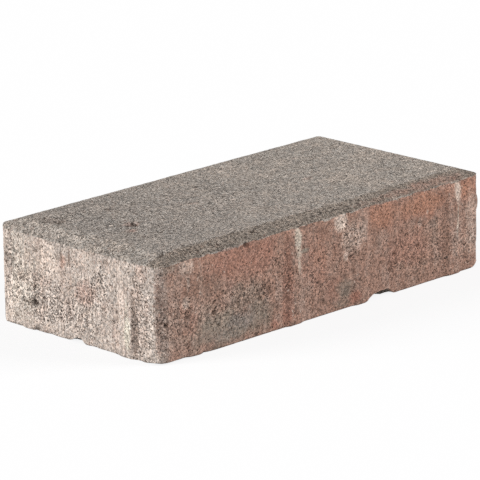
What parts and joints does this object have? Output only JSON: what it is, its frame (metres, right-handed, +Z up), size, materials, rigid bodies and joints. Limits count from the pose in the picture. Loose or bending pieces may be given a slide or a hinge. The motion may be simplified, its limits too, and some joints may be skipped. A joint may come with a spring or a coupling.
{
  "type": "concrete paving stone",
  "caption": "Rectangular cast concrete paving stone with a chamfered top edge and low spacer ribs on its upright sides.",
  "frame": {"origin": "centre of the underside, on the level that the stone lies on", "axes": "+X along the stone's long side, +Y across it, +Z up out of the walked-on face"},
  "size_m": [0.2, 0.1, 0.045],
  "materials": {
    "concrete": "dry-cast concrete, sandy and porous, grey on top with rust-red tints on the sides"
  },
  "bodies": {
    "root": {"paving_stone": "concrete"}
  },
  "joints": []
}
